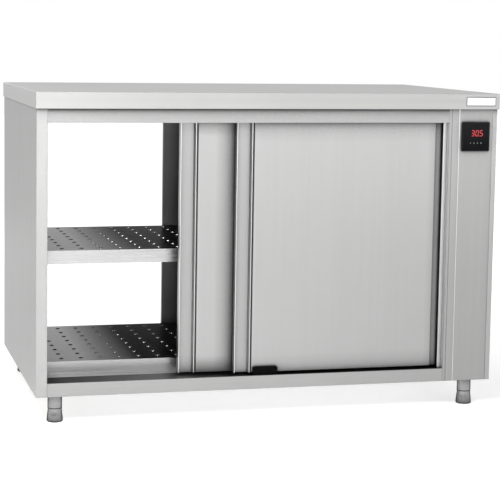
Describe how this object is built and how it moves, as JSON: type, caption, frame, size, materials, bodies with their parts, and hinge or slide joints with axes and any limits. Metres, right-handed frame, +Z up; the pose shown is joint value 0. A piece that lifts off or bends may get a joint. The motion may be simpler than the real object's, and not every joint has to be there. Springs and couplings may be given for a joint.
{
  "type": "plate warmer cabinet",
  "caption": "Free-standing stainless heated plate cabinet: pass-through chamber with sliding doors, perforated shelves, a control column and a flat worktop.",
  "frame": {"origin": "on the floor, under the middle of the cabinet's box", "axes": "+X along the worktop to the control column's end, +Y from the front to the rear, +Z up"},
  "size_m": [1.2, 0.7003, 0.82],
  "materials": {
    "worktop_steel": "brushed along the length",
    "brushed_sheet": "brushed, satin",
    "door_steel": "brushed upright, satin",
    "chamber_steel": "mill finish",
    "shelf_steel": "brushed, perforated",
    "polished_steel": "polished tube",
    "galvanised": "galvanised, dull",
    "badge": "blank, satin",
    "board": "pressed board",
    "insulation": "mineral wool slab",
    "black_plastic": "moulded, fine grain",
    "gloss_black": "moulded, gloss",
    "window": "tinted window",
    "ivory_plastic": "moulded",
    "roller_nylon": "nylon tyre",
    "motor_paint": "baked enamel",
    "heater": "oxidised steel",
    "probe": "drawn tube",
    "cable_sheath": "heat-proof sheath",
    "screw_steel": "plated"
  },
  "bodies": {
    "cabinet": {"worktop": "worktop_steel", "worktop_core": "board", "badge_plate": "badge", "left_side_panel": "brushed_sheet", "left_side_liner": "chamber_steel", "left_side_insulation": "insulation", "right_side_panel": "brushed_sheet", "partition_wall": "chamber_steel", "column_front_panel": "brushed_sheet", "column_rear_panel": "brushed_sheet", "front_post": "brushed_sheet", "rear_post": "brushed_sheet", "floor_panel": "chamber_steel", "ceiling_panel": "chamber_steel", "front_bottom_rail": "brushed_sheet", "rear_bottom_rail": "brushed_sheet", "front_top_rail": "brushed_sheet", "rear_top_rail": "brushed_sheet", "door_tracks": "galvanised", "door_guides": "black_plastic", "shelf_brackets": "chamber_steel", "fan_plate": "galvanised", "fan_motor": "motor_paint", "heater_element": "heater", "temperature_probe": "probe", "controller_case": "gloss_black", "display_window": "window", "terminal_block": "ivory_plastic", "overheat_cutout": "black_plastic", "wiring": "cable_sheath", "cable_gland": "black_plastic", "screws": "screw_steel", "foot_sleeves": "polished_steel"},
    "fan_wheel": {"fan_wheel": "galvanised"},
    "front_left_door": {"front_left_door_skin": "door_steel", "front_left_door_liner": "chamber_steel", "front_left_door_hangers": "galvanised"},
    "front_left_door_roller_a": {"front_left_door_roller_a": "roller_nylon"},
    "front_left_door_roller_b": {"front_left_door_roller_b": "roller_nylon"},
    "front_right_door": {"front_right_door_skin": "door_steel", "front_right_door_liner": "chamber_steel", "front_right_door_hangers": "galvanised"},
    "front_right_door_roller_a": {"front_right_door_roller_a": "roller_nylon"},
    "front_right_door_roller_b": {"front_right_door_roller_b": "roller_nylon"},
    "rear_left_door": {"rear_left_door_skin": "door_steel", "rear_left_door_liner": "chamber_steel", "rear_left_door_hangers": "galvanised"},
    "rear_left_door_roller_a": {"rear_left_door_roller_a": "roller_nylon"},
    "rear_left_door_roller_b": {"rear_left_door_roller_b": "roller_nylon"},
    "rear_right_door": {"rear_right_door_skin": "door_steel", "rear_right_door_liner": "chamber_steel", "rear_right_door_hangers": "galvanised"},
    "rear_right_door_roller_a": {"rear_right_door_roller_a": "roller_nylon"},
    "rear_right_door_roller_b": {"rear_right_door_roller_b": "roller_nylon"},
    "foot_front_left": {"foot_front_left": "polished_steel"},
    "foot_front_right": {"foot_front_right": "polished_steel"},
    "foot_rear_left": {"foot_rear_left": "polished_steel"},
    "foot_rear_right": {"foot_rear_right": "polished_steel"},
    "mid_shelf": {"mid_shelf": "shelf_steel"},
    "lower_shelf": {"lower_shelf": "shelf_steel"}
  },
  "joints": [
    {"name": "front_left_door_slide", "type": "slide", "parent": "cabinet", "child": "front_left_door", "axis": [1, 0, 0], "range_m": [-0.338, 0.146]},
    {"name": "front_left_door_roller_a_turn", "type": "hinge", "parent": "front_left_door", "child": "front_left_door_roller_a", "pos_m": [-0.171, -0.2973, 0.7738], "axis": [0, 1, 0], "continuous": true},
    {"name": "front_left_door_roller_b_turn", "type": "hinge", "parent": "front_left_door", "child": "front_left_door_roller_b", "pos_m": [0.259, -0.2973, 0.7738], "axis": [0, 1, 0], "continuous": true},
    {"name": "front_right_door_slide", "type": "slide", "parent": "cabinet", "child": "front_right_door", "axis": [1, 0, 0], "range_m": [-0.477, 0.007]},
    {"name": "front_right_door_roller_a_turn", "type": "hinge", "parent": "front_right_door", "child": "front_right_door_roller_a", "pos_m": [-0.032, -0.3223, 0.7738], "axis": [0, 1, 0], "continuous": true},
    {"name": "front_right_door_roller_b_turn", "type": "hinge", "parent": "front_right_door", "child": "front_right_door_roller_b", "pos_m": [0.398, -0.3223, 0.7738], "axis": [0, 1, 0], "continuous": true},
    {"name": "rear_left_door_slide", "type": "slide", "parent": "cabinet", "child": "rear_left_door", "axis": [1, 0, 0], "range_m": [-0.423, 0.061]},
    {"name": "rear_left_door_roller_a_turn", "type": "hinge", "parent": "rear_left_door", "child": "rear_left_door_roller_a", "pos_m": [0.344, 0.3223, 0.7738], "axis": [0, 1, 0], "continuous": true},
    {"name": "rear_left_door_roller_b_turn", "type": "hinge", "parent": "rear_left_door", "child": "rear_left_door_roller_b", "pos_m": [-0.086, 0.3223, 0.7738], "axis": [0, 1, 0], "continuous": true},
    {"name": "rear_right_door_slide", "type": "slide", "parent": "cabinet", "child": "rear_right_door", "axis": [1, 0, 0], "range_m": [-0.484, 0]},
    {"name": "rear_right_door_roller_a_turn", "type": "hinge", "parent": "rear_right_door", "child": "rear_right_door_roller_a", "pos_m": [0.405, 0.2973, 0.7738], "axis": [0, 1, 0], "continuous": true},
    {"name": "rear_right_door_roller_b_turn", "type": "hinge", "parent": "rear_right_door", "child": "rear_right_door_roller_b", "pos_m": [-0.025, 0.2973, 0.7738], "axis": [0, 1, 0], "continuous": true},
    {"name": "foot_front_left_screw", "type": "slide", "parent": "cabinet", "child": "foot_front_left", "axis": [0, 0, -1], "range_m": [0, 0.03]},
    {"name": "foot_front_right_screw", "type": "slide", "parent": "cabinet", "child": "foot_front_right", "axis": [0, 0, -1], "range_m": [0, 0.03]},
    {"name": "foot_rear_left_screw", "type": "slide", "parent": "cabinet", "child": "foot_rear_left", "axis": [0, 0, -1], "range_m": [0, 0.03]},
    {"name": "foot_rear_right_screw", "type": "slide", "parent": "cabinet", "child": "foot_rear_right", "axis": [0, 0, -1], "range_m": [0, 0.03]},
    {"name": "mid_shelf_lift", "type": "slide", "parent": "cabinet", "child": "mid_shelf", "axis": [0, 0, 1], "range_m": [0, 0.05]},
    {"name": "lower_shelf_lift", "type": "slide", "parent": "cabinet", "child": "lower_shelf", "axis": [0, 0, 1], "range_m": [0, 0.05]},
    {"name": "fan_spin", "type": "hinge", "parent": "cabinet", "child": "fan_wheel", "pos_m": [0.512, 0, 0.5], "axis": [1, 0, 0], "continuous": true}
  ],
  "couplings": [
    {"joint": "front_left_door_roller_a_turn", "follows": "front_left_door_slide", "rad_per_m": 71.429},
    {"joint": "front_left_door_roller_b_turn", "follows": "front_left_door_slide", "rad_per_m": 71.429},
    {"joint": "front_right_door_roller_a_turn", "follows": "front_right_door_slide", "rad_per_m": 71.429},
    {"joint": "front_right_door_roller_b_turn", "follows": "front_right_door_slide", "rad_per_m": 71.429},
    {"joint": "rear_left_door_roller_a_turn", "follows": "rear_left_door_slide", "rad_per_m": 71.429},
    {"joint": "rear_left_door_roller_b_turn", "follows": "rear_left_door_slide", "rad_per_m": 71.429},
    {"joint": "rear_right_door_roller_a_turn", "follows": "rear_right_door_slide", "rad_per_m": 71.429},
    {"joint": "rear_right_door_roller_b_turn", "follows": "rear_right_door_slide", "rad_per_m": 71.429}
  ]
}
